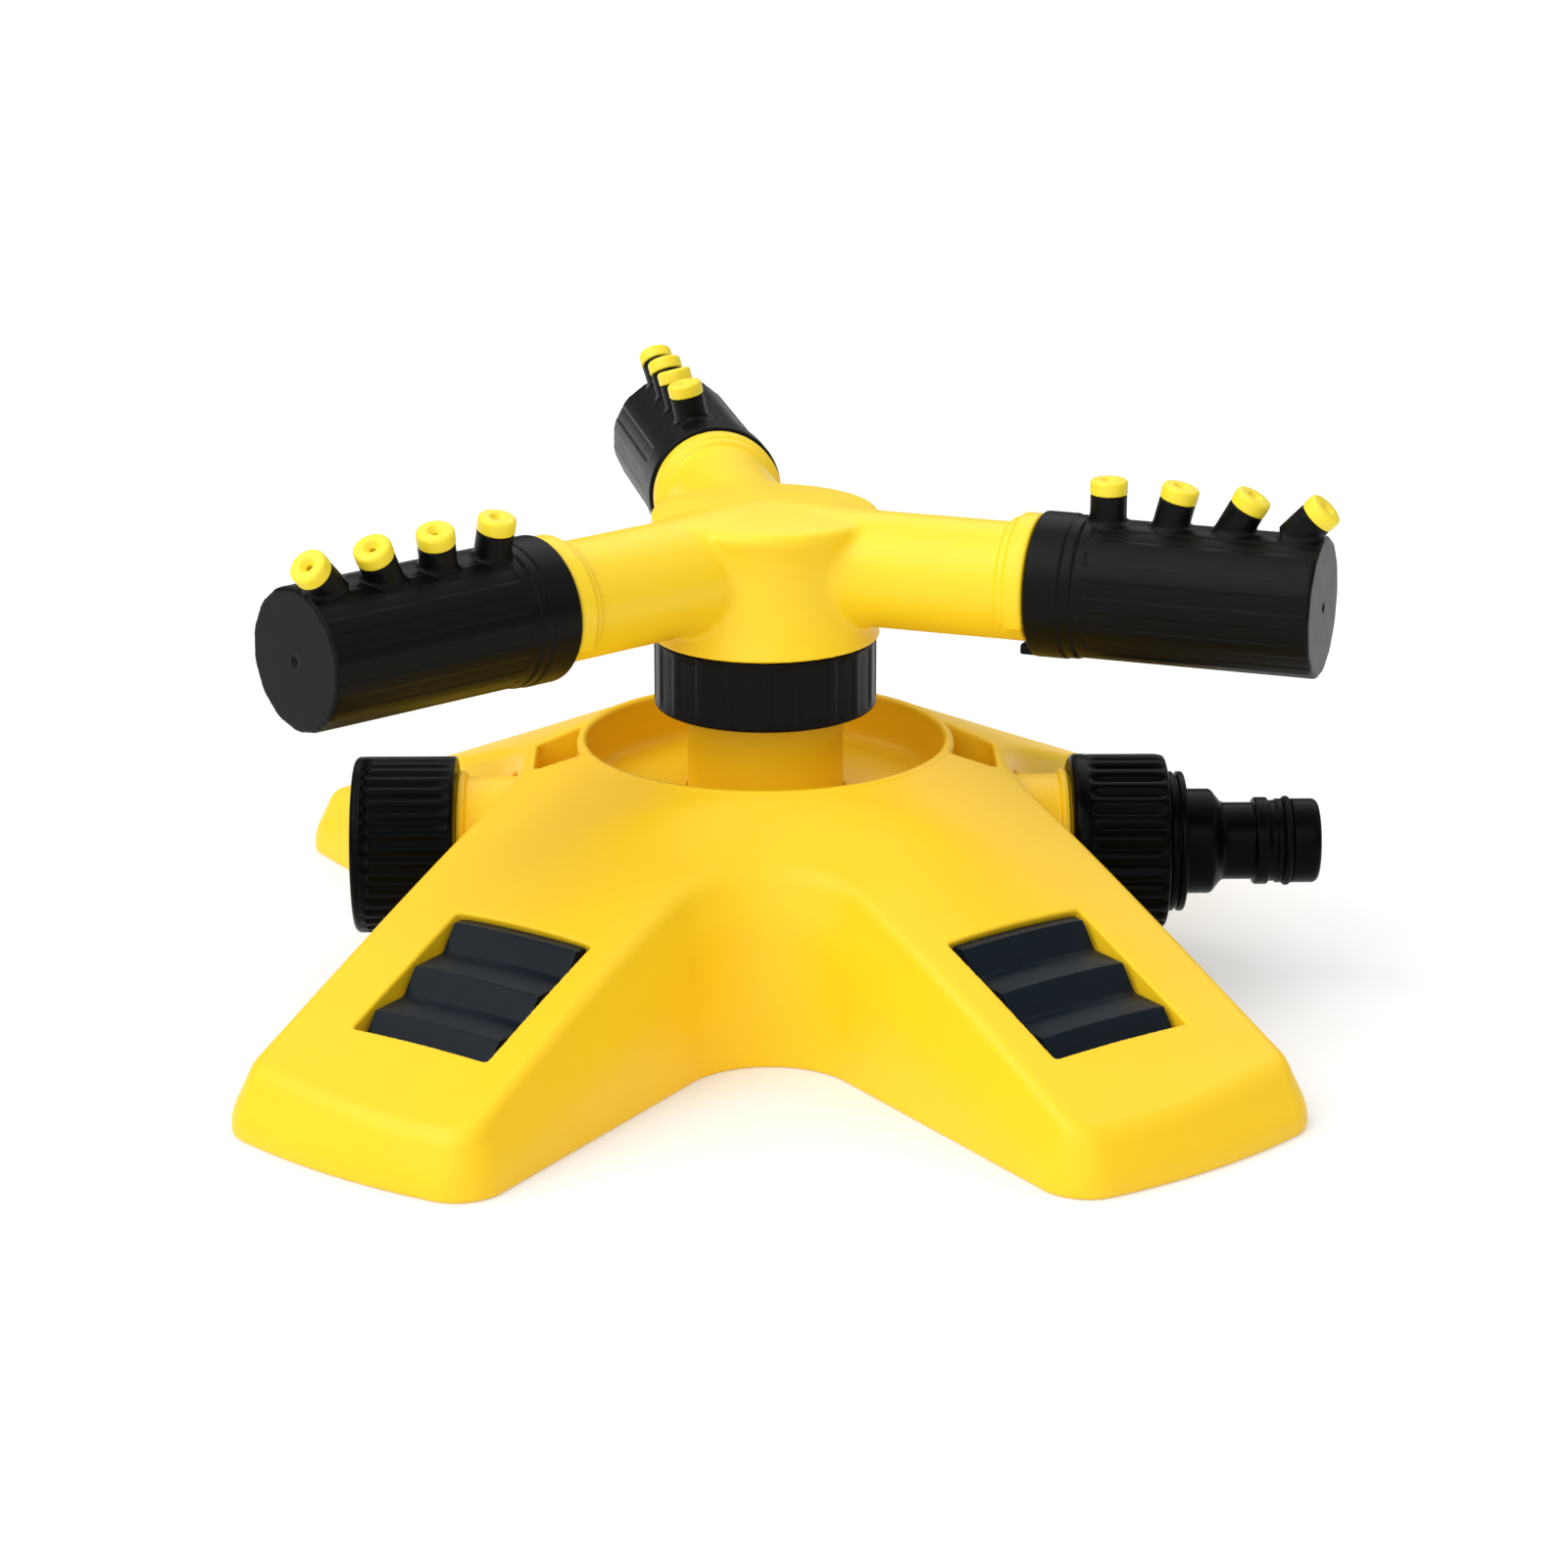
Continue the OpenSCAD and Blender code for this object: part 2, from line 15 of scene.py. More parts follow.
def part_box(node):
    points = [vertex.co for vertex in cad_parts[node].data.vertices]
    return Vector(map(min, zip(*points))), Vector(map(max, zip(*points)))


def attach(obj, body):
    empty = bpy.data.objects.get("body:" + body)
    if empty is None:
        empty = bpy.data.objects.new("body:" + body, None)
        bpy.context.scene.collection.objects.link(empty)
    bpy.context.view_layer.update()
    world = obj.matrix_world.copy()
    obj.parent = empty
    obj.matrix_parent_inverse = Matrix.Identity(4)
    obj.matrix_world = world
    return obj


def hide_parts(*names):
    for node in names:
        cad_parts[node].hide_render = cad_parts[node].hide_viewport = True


MM = 0.001
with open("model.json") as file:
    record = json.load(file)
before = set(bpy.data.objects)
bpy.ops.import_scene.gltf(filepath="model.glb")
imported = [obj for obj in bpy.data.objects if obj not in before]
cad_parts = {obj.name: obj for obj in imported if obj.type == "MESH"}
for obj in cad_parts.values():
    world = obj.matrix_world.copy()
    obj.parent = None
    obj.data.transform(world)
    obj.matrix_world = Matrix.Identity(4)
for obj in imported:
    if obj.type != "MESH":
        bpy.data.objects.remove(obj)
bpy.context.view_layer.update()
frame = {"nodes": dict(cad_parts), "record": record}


def size(node):
    """Lowest and highest corner of a CAD node, in millimetres."""
    return [np.array(corner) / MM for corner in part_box(node)]


# Base
LEG_ANGLE = math.radians(57.2)
LEG_HALF = 30.1
LEG_OFFSET = 9.6
LEG_REACH = 126.7
LEG_CORNER = 8.0
LEG_END_H = 10.0
FRONT_ARCH = 16.3
SIDE_ARCH = 25.0
WALL = 2.4
BEVEL_FRONT = 3.2
BEVEL_OUTER = 4.8
BEVEL_FOOT = 3.6
VALLEY = 5.6
RIM_Z = size("base_shell")[1][2]
BASIN_R = 34.4
BASIN_OUT = 36.0
BASIN_FLOOR = RIM_Z - 10.0
FALL = (RIM_Z - LEG_END_H) / (LEG_REACH - BASIN_OUT)
LEG_SLOPE = math.atan(FALL)
SLOT_X = 40.6
SCREW_XY = (10.0, 22.0)
BOSS_R = 4.0
LUG_Z = (19.0, 22.0)
LUG_HALF = (14.0, 27.0)

# Tread pockets, from the middle of a pocket's mouth
POCKET_T = 90.5
POCKET_N = 4.8
POCKET_TURN = math.radians(2)
POCKET = (33.0, 30.0, 5.0)  # length, width, depth
TRAY_WALL = 1.8
TREAD_GAP = 1.2
TREAD_TOP = -0.7
TREAD_DIP = -3.6
TREAD_CREST = 2.4
TREAD_RISER = 5.0

# Cross pipe and post
PIPE_Z = 26.6
PIPE_R = 13.2
PIPE_BORE = 9.5
PIPE_MID_R = 9.3
PIPE_STEP_X = 42.0
WATER_R = 6.5
POST_R = 15.0
FOOT_R = 10.0
FLANGE_R = 17.6
FLANGE_Z = (58.3, 60.7)
PIPE_X = (size("water_body")[0][0], size("water_body")[1][0])
CAP_X = (size("end_cap")[0][0], size("end_cap")[1][0])
NUT_X = (size("hose_nut")[0][0], size("hose_nut")[1][0])
GRIP_R = 17.1
CAP_RIBS = 36
NUT_FLUTES = 28
COLLAR_RIBS = 20
TIP_X = size("hose_nipple")[1][0]

# Rotor
ARM_Z = 83.5
ARM_R = 11.0
ARM_0 = math.radians(-20)
ARMS = 3
SECTOR = 2 * math.pi / ARMS
HUB_TOP_R = 22.0
HUB_Z = (69.0, 93.2)
WAIST_R = 20.0
WAIST_Z = 80.6
WAIST_ARC = 34.0
DOME = 1.8
ARM_FLANGE = (50.3, 54.2)
ARM_BORE = 7.0
SPIGOT_R = 9.9
SPIGOT_END = 69.6
SKIRT_R = (17.9, 19.4)
COLLAR_R = 21.3
COLLAR_Z = (55.2, 68.8)

# Nozzle sleeves, along an arm
SLEEVE_X = (54.5, 107.7)
SLEEVE_COLLAR_R = 13.6
SLEEVE_R = 13.1
FLUTES = 14
FLUTE_DEPTH = 0.15
FLUTE_START = 65.2
TONGUE_HALF = math.radians(11)
NOZZLES = 4
NOZZLE_FIRST = 67.0
NOZZLE_PITCH = 11.8
NOZZLE_LEAN = math.radians(14.5)
STUB_R = 3.4
STUB_H = 4.9
NOZZLE_BORE = 1.4
TIP_R = 3.5
WATER_HOLE = 0.6
TIP_H = 2.8
SLEEVE_TURN = [math.radians(a) for a in (0, -12, -14.5)]  # of each sleeve on its arm, in the pose shown


# ---------------------------------------------------------------- fields

def smax(a, b, k):
    """The larger of two fields, with the edge between them rounded over a width of k."""
    h = np.maximum(k - np.abs(a - b), 0)
    return np.maximum(a, b) + h * h / (4 * k)


def smin(a, b, k):
    """The smaller of two fields, with a fillet of width k between them."""
    return -smax(-a, -b, k)


def round_max(a, b, r):
    """The larger of two distances, with a true arc of radius r round the corner."""
    u, v = a + r, b + r
    return np.hypot(np.maximum(u, 0), np.maximum(v, 0)) + np.minimum(np.maximum(u, v), 0) - r


def slab(x, x0, x1):
    """Distance from the space between x0 and x1."""
    return np.abs(x - (x0 + x1) / 2) - (x1 - x0) / 2


def gradient(field, points, d):
    """Slope of a field at each point, by differences over d."""
    g = np.empty_like(points)
    for i in range(3):
        e = np.zeros(3)
        e[i] = d
        g[:, i] = field(points + e) - field(points - e)
    return g / (2 * d)


CORNERS = np.array([[i, j, k] for i in (0, 1) for j in (0, 1) for k in (0, 1)])
EDGES = [(a, b) for a in range(8) for b in range(a + 1, 8) if np.abs(CORNERS[a] - CORNERS[b]).sum() == 1]
BLOCK = 8


def sample(field, lo, n, step):
    """Values of the field on a grid of n cells. Blocks far from the surface keep one value."""
    mids = np.stack(np.meshgrid(*[np.arange(k // BLOCK) for k in n], indexing="ij"), -1)
    coarse = field(lo + step * BLOCK * (mids.reshape(-1, 3) + 0.5)).reshape(mids.shape[:3])
    values = coarse.astype(np.float32)
    for axis in range(3):
        values = values.repeat(BLOCK, axis)
    values = np.pad(values, ((0, 1),) * 3, "edge")
    reach = np.arange(BLOCK + 1)
    cell = np.stack(np.meshgrid(reach, reach, reach, indexing="ij"), -1).reshape(-1, 3)
    near = np.argwhere(np.abs(coarse) < step * BLOCK) * BLOCK
    for part in np.array_split(near, len(near) // 400 + 1):
        at = (part[:, None] + cell).reshape(-1, 3)
        values[tuple(at.T)] = field(lo + step * at)
    return values


def net(field, lo, hi, step):
    """Closed quad mesh of the field's zero surface between lo and hi: one point in each cell it crosses."""
    lo = np.array(lo, float)
    n = np.ceil((np.array(hi) - lo) / (step * BLOCK)).astype(int) * BLOCK
    values = sample(field, lo, n, step)
    inside = values < 0
    count = sum(inside[i:n[0] + i, j:n[1] + j, k:n[2] + k].astype(np.int8) for i, j, k in CORNERS)
    cells = np.argwhere((count > 0) & (count < 8))
    number = np.full(n, -1, np.int64)
    number[tuple(cells.T)] = np.arange(len(cells))
    corner = np.stack([values[tuple((cells + c).T)] for c in CORNERS], 1).astype(float)
    total, hits = np.zeros((len(cells), 3)), np.zeros(len(cells))
    for a, b in EDGES:
        cross = (corner[:, a] < 0) != (corner[:, b] < 0)
        gap = np.where(cross, corner[:, a] - corner[:, b], 1)
        t = corner[:, a] / gap
        total += np.where(cross[:, None], CORNERS[a] + t[:, None] * (CORNERS[b] - CORNERS[a]), 0)
        hits += cross
    points = lo + step * (cells + total / hits[:, None])
    for _ in range(4):
        g = gradient(field, points, 0.1 * step)
        move = -field(points)[:, None] * g / np.maximum((g * g).sum(1, keepdims=True), 0.3)
        points += np.clip(move, -0.5 * step, 0.5 * step)
    quads = []
    for axis in range(3):
        along, u, w = np.roll(np.eye(3, dtype=int), -axis, 0)
        low = [slice(1, k) for k in n]
        low[axis] = slice(0, n[axis])
        high = list(low)
        high[axis] = slice(1, n[axis] + 1)
        first, second = inside[tuple(low)], inside[tuple(high)]
        at = np.argwhere(first != second)
        out = first[tuple(at.T)]
        at = at + 1 - along
        ring = [number[tuple((at - d).T)] for d in (u + w, w, 0 * u, u)]
        quad = np.stack(ring, 1)
        quad[~out] = quad[~out][:, ::-1]
        quads.append(quad)
    return points, np.concatenate(quads)


# ---------------------------------------------------------------- meshes

def piece(name, points, faces, body, nodes, look, normals=None):
    """A mesh in the part's frame that stands for CAD nodes, moves with their body and takes a material."""
    mesh = bpy.data.meshes.new(name)
    mesh.from_pydata((np.asarray(points) * MM).tolist(), [], [list(map(int, f)) for f in faces])
    mesh.validate()
    mesh.shade_smooth()
    if normals is not None:
        mesh.normals_split_custom_set_from_vertices(normals.tolist())
    obj = bpy.data.objects.new(name, mesh)
    bpy.context.scene.collection.objects.link(obj)
    mesh.materials.append(look)
    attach(obj, body)
    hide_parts(*nodes)
    return obj


def thin(points, quads, share):
    """The same mesh with only that share of its faces, fewest where it is flat."""
    mesh = bpy.data.meshes.new("thin")
    mesh.from_pydata(points.tolist(), [], quads.tolist())
    obj = bpy.data.objects.new("thin", mesh)
    bpy.context.scene.collection.objects.link(obj)
    cut = obj.modifiers.new("thin", "DECIMATE")
    cut.ratio = share
    done = bpy.data.meshes.new_from_object(obj.evaluated_get(bpy.context.evaluated_depsgraph_get()))
    bpy.data.objects.remove(obj)
    co = np.zeros(len(done.vertices) * 3)
    done.vertices.foreach_get("co", co)
    return co.reshape(-1, 3), [list(f.vertices) for f in done.polygons]


def moulding(name, field, lo, hi, step, body, nodes, look, share=0.35, place=None):
    """A piece whose surface is a field's. place puts copies of it as (suffix, turn on its own X, turn about Z,
    height)."""
    points, faces = thin(*net(field, lo, hi, step), share)
    normals = gradient(field, points, 0.1 * step)
    normals /= np.maximum(np.linalg.norm(normals, axis=1, keepdims=True), 1e-9)
    for suffix, tilt, turn, height in place or [("", 0.0, 0.0, 0.0)]:
        spin = np.array(Matrix.Rotation(turn, 3, "Z") @ Matrix.Rotation(tilt, 3, "X"))
        own = [n + suffix for n in nodes]
        piece(name + suffix, points @ spin.T + [0, 0, height], faces, body + suffix, own, look,
              normals @ spin.T)


def fillet(path, closed=True):
    """Points of a path given as (x, y) or (x, y, radius): each corner with a radius becomes an arc."""
    out, n = [], len(path)
    for i, corner in enumerate(path):
        p = np.array(corner[:2], float)
        r = corner[2] if len(corner) > 2 else 0
        if not r or (not closed and i in (0, n - 1)):
            out.append(p)
            continue
        a = np.array(path[i - 1][:2], float) - p
        b = np.array(path[(i + 1) % n][:2], float) - p
        la, lb = np.linalg.norm(a), np.linalg.norm(b)
        a, b = a / la, b / lb
        half = math.acos(np.clip(a @ b, -1, 1)) / 2
        back = min(r / math.tan(half), 0.49 * la, 0.49 * lb)
        mid = (a + b) / np.linalg.norm(a + b)
        centre = p + mid * back / math.cos(half)
        radius = back * math.tan(half)
        a0 = math.atan2(*(p + a * back - centre)[::-1])
        turn = (math.atan2(*(p + b * back - centre)[::-1]) - a0 + math.pi) % (2 * math.pi) - math.pi
        for t in np.linspace(0, 1, 7):
            out.append(centre + radius * np.array([math.cos(a0 + turn * t), math.sin(a0 + turn * t)]))
    return np.array(out)


def lathe(path, count, shape=None):
    """Closed surface of a path of (radius, height) turned about +Z. shape(angle, radius, height) is what it
    takes off the radius. A path that starts and ends on the axis is closed there, and any other is a ring."""
    angles = np.arange(count) * 2 * math.pi / count
    r, z = path[:, 0][:, None], path[:, 1][:, None]
    taken = shape(angles[None], r, z) if shape else 0
    ring = np.stack(np.broadcast_arrays((r - taken) * np.cos(angles), (r - taken) * np.sin(angles), z), -1)
    m = len(path)
    solid = path[0][0] < 1e-6 and path[-1][0] < 1e-6
    rows = range(1, m - 2) if solid else range(m)
    faces = []
    for i in rows:
        j = (i + 1) % m
        for k in range(count):
            q = (k + 1) % count
            faces.append((i * count + k, i * count + q, j * count + q, j * count + k))
    points = ring.reshape(-1, 3)
    if solid:
        last = (m - 1) * count
        points = np.concatenate([points[:1], points[count:last], points[last:last + 1]])
        shift = count - 1
        faces = [tuple(v - shift for v in f) for f in faces]
        for k in range(count):
            q = (k + 1) % count
            faces.append((0, 1 + q, 1 + k))
            faces.append((len(points) - 1, len(points) - 1 - count + k, len(points) - 1 - count + q))
    return points, faces


def on_pipe(points):
    """Turns a shape made about +Z on to the cross pipe: its height becomes X."""
    return np.stack([points[:, 2], points[:, 1], PIPE_Z - points[:, 0]], 1)


# ---------------------------------------------------------------- base

def plan(x, y):
    """Distance in plan from the base's outline: four legs with round ends, and arches between them."""
    c, s = math.cos(LEG_ANGLE), math.sin(LEG_ANGLE)
    n = x * s - y * c
    front_y = (LEG_HALF + FRONT_ARCH - LEG_OFFSET) / c
    side_x = (LEG_OFFSET + LEG_HALF + SIDE_ARCH) / s
    past_front = x * c + (y - front_y) * s > 0
    past_side = (x - side_x) * c + y * s > 0
    front = np.where(past_front, LEG_OFFSET - LEG_HALF - n, FRONT_ARCH - np.hypot(x, y - front_y))
    side = np.where(past_side, n - LEG_OFFSET - LEG_HALF, SIDE_ARCH - np.hypot(x - side_x, y))
    return round_max(np.maximum(front, side), np.hypot(x, y) - LEG_REACH, LEG_CORNER)


def bump(t):
    """0 below 0, 1 above 1, and a smooth step between."""
    t = np.clip(t, 0, 1)
    return t * t * (3 - 2 * t)


def skin_field(x, y, z):
    """The base's outside: a cone from the basin's rim to the legs, a valley above the front and rear arches,
    steep bevels that are wider on the cap's and inlet's side, and upright walls under them."""
    ring = np.hypot(x, y)
    arch = np.exp(-((x / 22) ** 2))
    height = LEG_END_H + FALL * (LEG_REACH - np.maximum(ring, BASIN_OUT)) - VALLEY * arch * bump((y - 36) / 13)
    foot = smax(0.374 * (LEG_REACH - ring) - 2 + 3.1 * arch, BEVEL_FOOT, 3)
    outer = bump((x * math.sin(LEG_ANGLE) - y * math.cos(LEG_ANGLE) + 5) / 30)
    inset = BEVEL_FRONT + (BEVEL_OUTER - BEVEL_FRONT) * outer
    edge = plan(x, y)
    rise = np.maximum(height - foot, 1)
    bevel = (rise * (edge + inset) + inset * (z - height)) / np.hypot(rise, inset)
    return smax(smax(bevel, (z - height) * math.cos(LEG_SLOPE), 2.0), edge, 1.3)


def in_pocket(x, y, z):
    """Downhill, sideways and normal distances from the middle of the tread pocket's mouth."""
    a = LEG_ANGLE - POCKET_TURN
    dx = x - POCKET_T * math.cos(LEG_ANGLE) - POCKET_N * math.sin(LEG_ANGLE)
    dy = y - POCKET_T * math.sin(LEG_ANGLE) + POCKET_N * math.cos(LEG_ANGLE)
    dz = z - LEG_END_H - FALL * (LEG_REACH - POCKET_T)
    h = dx * math.cos(a) + dy * math.sin(a)
    v = -dx * math.sin(a) + dy * math.cos(a)
    c, s = math.cos(LEG_SLOPE), math.sin(LEG_SLOPE)
    return h * c - dz * s, v, h * s + dz * c


def base_field(p):
    """The moulded base: a shell with basin, slots, pipe openings, screw bosses and tread pockets."""
    x, y, z = np.abs(p[:, 0]), np.abs(p[:, 1]), p[:, 2]
    ring = np.hypot(x, y)
    skin = skin_field(x, y, z)
    solid = smax(smax(skin, -z, 0.9), -(skin + WALL), 0.6)
    basin = np.maximum(smax(ring - BASIN_OUT, z - RIM_Z, 0.8), BASIN_FLOOR - 2 - z)
    solid = smin(solid, basin, 0.8)
    u, v, w = in_pocket(x, y, z)
    half_l, half_w = POCKET[0] / 2, POCKET[1] / 2
    tray = np.maximum(np.maximum(np.abs(u) - half_l, np.abs(v) - half_w) - TRAY_WALL,
                      -w - POCKET[2] - TRAY_WALL)
    chute = np.maximum(np.maximum(np.abs(x - SLOT_X) - 5.4, y - 11.6), BASIN_FLOOR + 0.2 - z)
    solid = smin(solid, smax(np.minimum(tray, chute), skin + 0.6, 0.3), 0.6)
    screw = np.hypot(x - SCREW_XY[0], y - SCREW_XY[1])
    boss = np.maximum(screw - BOSS_R, np.maximum(LUG_Z[1] - z, z - BASIN_FLOOR + 1))
    solid = smin(solid, boss, 0.8)
    cuts = [
        smax(ring - BASIN_R, BASIN_FLOOR - z, 3),
        np.maximum(ring - POST_R - 0.2, slab(z, BASIN_FLOOR - 5, BASIN_FLOOR + 5)),
        np.maximum(screw - 1.6, z - BASIN_FLOOR + 4),
        smax(round_max(np.maximum(BASIN_OUT + 0.3 - ring, x - SLOT_X - 3.6), y - 9.7 + 0.2 * (x - 37), 1.5),
             BASIN_FLOOR - z, 0.3),
        np.maximum(np.where(z > PIPE_Z, np.hypot(y, z - PIPE_Z), y) - PIPE_R - 0.4, slab(x, 38, 62)),
        smax(round_max(np.abs(u) - half_l, np.abs(v) - half_w, 0.8), -w - POCKET[2], 0.3),
    ]
    for cut, soft in zip(cuts, (1.0, 0.3, 0.3, 1.0, 0.8, 0.7)):
        solid = smax(solid, -cut, soft)
    return solid


def water_field(p):
    """Cross pipe, upright post, foot and screw lugs in one moulding, with its bores."""
    x, y, z = p[:, 0], p[:, 1], p[:, 2]
    tube = np.hypot(y, z - PIPE_Z)
    ring = np.hypot(x, y)
    solid = np.maximum(tube - PIPE_MID_R, np.abs(x) - PIPE_STEP_X)
    for x0, x1 in ((PIPE_X[0], 1 - PIPE_STEP_X), (PIPE_STEP_X - 1, PIPE_X[1])):
        solid = smin(solid, smax(tube - PIPE_R, slab(x, x0, x1), 0.8), 1.5)
    for x0 in (CAP_X[1] + 0.4, NUT_X[0] - 2):
        solid = smin(solid, smax(tube - PIPE_R - 1, slab(x, x0, x0 + 1.6), 0.5), 0.5)
    post = smax(ring - POST_R, slab(z, PIPE_Z, FLANGE_Z[0] + 1), 0.3)
    solid = smin(solid, post, 3)
    solid = smin(solid, smax(ring - FLANGE_R, slab(z, *FLANGE_Z), 0.4), 0.8)
    solid = smin(solid, smax(ring - FOOT_R, slab(z, 0, PIPE_Z), 0.8), 3)
    lugs = smax(round_max(np.abs(x) - LUG_HALF[0], np.abs(y) - LUG_HALF[1], 3), slab(z, *LUG_Z), 0.5)
    solid = smin(solid, lugs, 1.5)
    screw = np.hypot(np.abs(x) - SCREW_XY[0], np.abs(y) - SCREW_XY[1])
    cuts = [
        np.maximum(tube - PIPE_BORE, PIPE_STEP_X + 1 - np.abs(x)),
        np.maximum(tube - WATER_R, np.abs(x) - 50),
        np.maximum(ring - WATER_R, PIPE_Z - z),
        np.maximum(ring - 9, 46 - z),
        np.maximum(screw - 1.9, np.abs(z - LUG_Z[0]) - 5),
    ]
    for cut in cuts:
        solid = smax(solid, -cut, 0.3)
    return solid


def tread(name, side_x, side_y, look):
    """A rubber tread like stairs, slightly crowned across, with worn crests."""
    length, width = POCKET[0] - 0.8, POCKET[1] - 2 * TREAD_GAP
    pitch = (length - TREAD_CREST - TREAD_RISER) / 2
    rise = (TREAD_TOP - TREAD_DIP) / (pitch - TREAD_RISER)
    floor = -POCKET[2] + 0.02
    path = [(0, floor), (0, TREAD_TOP - TREAD_CREST * rise, 0.3)]
    for k in range(3):
        at = TREAD_CREST + k * pitch
        path += [(at, TREAD_TOP, 0.45), (at + TREAD_RISER, TREAD_DIP, 1.6 if k < 2 else 0)]
    path.append((length, floor))
    path = fillet(path)
    across = np.linspace(-1, 1, 33)
    across = np.sign(across) * (1 - (1 - np.abs(across)) ** 1.4)
    m, n = len(path), len(across)
    u = np.repeat(path[:, 0] - length / 2, n)
    v = np.tile(across, m) * width / 2
    w = np.repeat(path[:, 1], n)
    crown = 0.45 * (1 - np.tile(across, m) ** 2) - 0.15 * np.tile(np.abs(across), m) ** 12
    w = w + np.where(w > floor + 0.1, crown, 0)
    a, c, s = LEG_ANGLE - POCKET_TURN, math.cos(LEG_SLOPE), math.sin(LEG_SLOPE)
    h, dz = u * c + w * s, w * c - u * s
    x = POCKET_T * math.cos(LEG_ANGLE) + POCKET_N * math.sin(LEG_ANGLE) + h * math.cos(a) - v * math.sin(a)
    y = POCKET_T * math.sin(LEG_ANGLE) - POCKET_N * math.cos(LEG_ANGLE) + h * math.sin(a) + v * math.cos(a)
    z = LEG_END_H + FALL * (LEG_REACH - POCKET_T) + dz
    faces = [(i * n + k, i * n + k + 1, (i + 1) % m * n + k + 1, (i + 1) % m * n + k)
             for i in range(m) for k in range(n - 1)]
    faces += [[i * n for i in range(m)], [i * n + n - 1 for i in reversed(range(m))]]
    if side_x * side_y < 0:
        faces = [tuple(reversed(f)) for f in faces]
    obj = piece(name, np.stack([side_x * x, side_y * y, z], 1), faces, "base", [name], look)
    obj.data.set_sharp_from_angle(angle=math.radians(40))
    return obj


# ---------------------------------------------------------------- rotor

def along_arm(x, y, z):
    """Distances along, across and above the axis of the nearest arm."""
    ring = np.hypot(x, y)
    turn = (np.arctan2(y, x) - ARM_0 + SECTOR / 2) % SECTOR - SECTOR / 2
    return ring * np.cos(turn), ring * np.sin(turn), z - ARM_Z


def hub_field(p):
    """Hub with a domed top, a waist, three arms, their flanges and spigots, the skirt and the bores."""
    x, y, z = p[:, 0], p[:, 1], p[:, 2]
    ring = np.hypot(x, y)
    a, b, h = along_arm(x, y, z)
    tube = np.hypot(b, h)
    waist = WAIST_R + WAIST_ARC - np.sqrt(np.maximum(WAIST_ARC**2 - (z - WAIST_Z) ** 2, 20))
    dome = HUB_Z[1] + DOME * (1 - (ring / HUB_TOP_R) ** 2)
    body = smax(smax((ring - waist) * 0.85, z - dome, 2.6), HUB_Z[0] - z, 0.5)
    arm = np.maximum(tube - ARM_R, a - ARM_FLANGE[1] + 1)
    solid = smin(body, arm, 1.5)
    wedge = np.abs(b) * 0.5 + h * 0.866
    for r, x0, x1 in ((12.1, ARM_FLANGE[0] - 1.7, ARM_FLANGE[0] + 0.4), (13, *ARM_FLANGE)):
        flange = smax(smax(tube - r, slab(a, x0, x1), 0.9), -wedge, 0.5)
        solid = smin(solid, flange, 0.7)
    spigot = smax(tube - SPIGOT_R, a - SPIGOT_END, 0.8)
    skirt = np.maximum(ring - SKIRT_R[1], slab(z, 58.8, 70))
    solid = np.minimum(np.minimum(solid, spigot), skirt)
    cuts = [
        np.maximum(ring - SKIRT_R[0], z - 62.2),
        np.maximum(ring - 9.05, z - 76),
        np.maximum(ring - 12, slab(z, 75, 91.2)),
        np.maximum(tube - ARM_BORE, 8 - a),
    ]
    for cut in cuts:
        solid = smax(solid, -cut, 0.3)
    return solid


def sleeve_field(p):
    """A nozzle sleeve on an arm along +X at height 0: collar, step ring, fluted body, tongue and stubs."""
    a, b, h = p[:, 0], p[:, 1], p[:, 2]
    tube = np.hypot(b, h)
    turn = np.arctan2(b, h)
    s = (turn * FLUTES / (2 * math.pi) + 0.5) % 1
    groove = np.clip(0.5 + (0.26 - np.abs(s - 0.5)) * 9, 0, 1)
    groove = groove * groove * (3 - 2 * groove) * np.clip((a - FLUTE_START) / 0.6, 0, 1)
    solid = smax(tube - SLEEVE_R + FLUTE_DEPTH * groove, slab(a, *SLEEVE_X), 0.9)
    solid = smin(solid, smax(tube - SLEEVE_COLLAR_R, slab(a, SLEEVE_X[0], 61.3), 0.7), 0.3)
    solid = smin(solid, smax(tube - SLEEVE_R - 0.3, slab(a, 61.3, 63.4), 0.5), 0.3)
    tongue = smax(slab(tube, 11.5, SLEEVE_COLLAR_R), slab(a, 51.2, 56), 0.5)
    tongue = smax(tongue, (np.abs(np.abs(turn) - math.pi) - TONGUE_HALF) * 12.5, 0.5)
    solid = smin(solid, tongue, 0.5)
    stubs, bores = [], []
    for k in range(NOZZLES):
        lean = NOZZLE_LEAN * k
        da, dh = a - NOZZLE_FIRST - NOZZLE_PITCH * k, h - SLEEVE_R
        out = da * math.sin(lean) + dh * math.cos(lean)
        off = np.hypot(da * math.cos(lean) - dh * math.sin(lean), b)
        stubs.append(smax(off - STUB_R, slab(out, -1.5, STUB_H), 0.4))
        bores.append(np.maximum(off - NOZZLE_BORE, slab(out, -4, 16)))
    solid = smin(solid, np.min(stubs, 0), 1.2)
    cuts = [
        np.maximum(tube - SPIGOT_R - 0.05, slab(a, 50, 80)),
        np.maximum(tube - 10.6, slab(a, 67.8, SLEEVE_X[1] - 3)),
        np.sqrt(tube**2 + (a - SLEEVE_X[1] - 0.5) ** 2) - 1.0,
        np.min(bores, 0),
    ]
    for cut in cuts:
        solid = smax(solid, -cut, 0.3)
    return solid


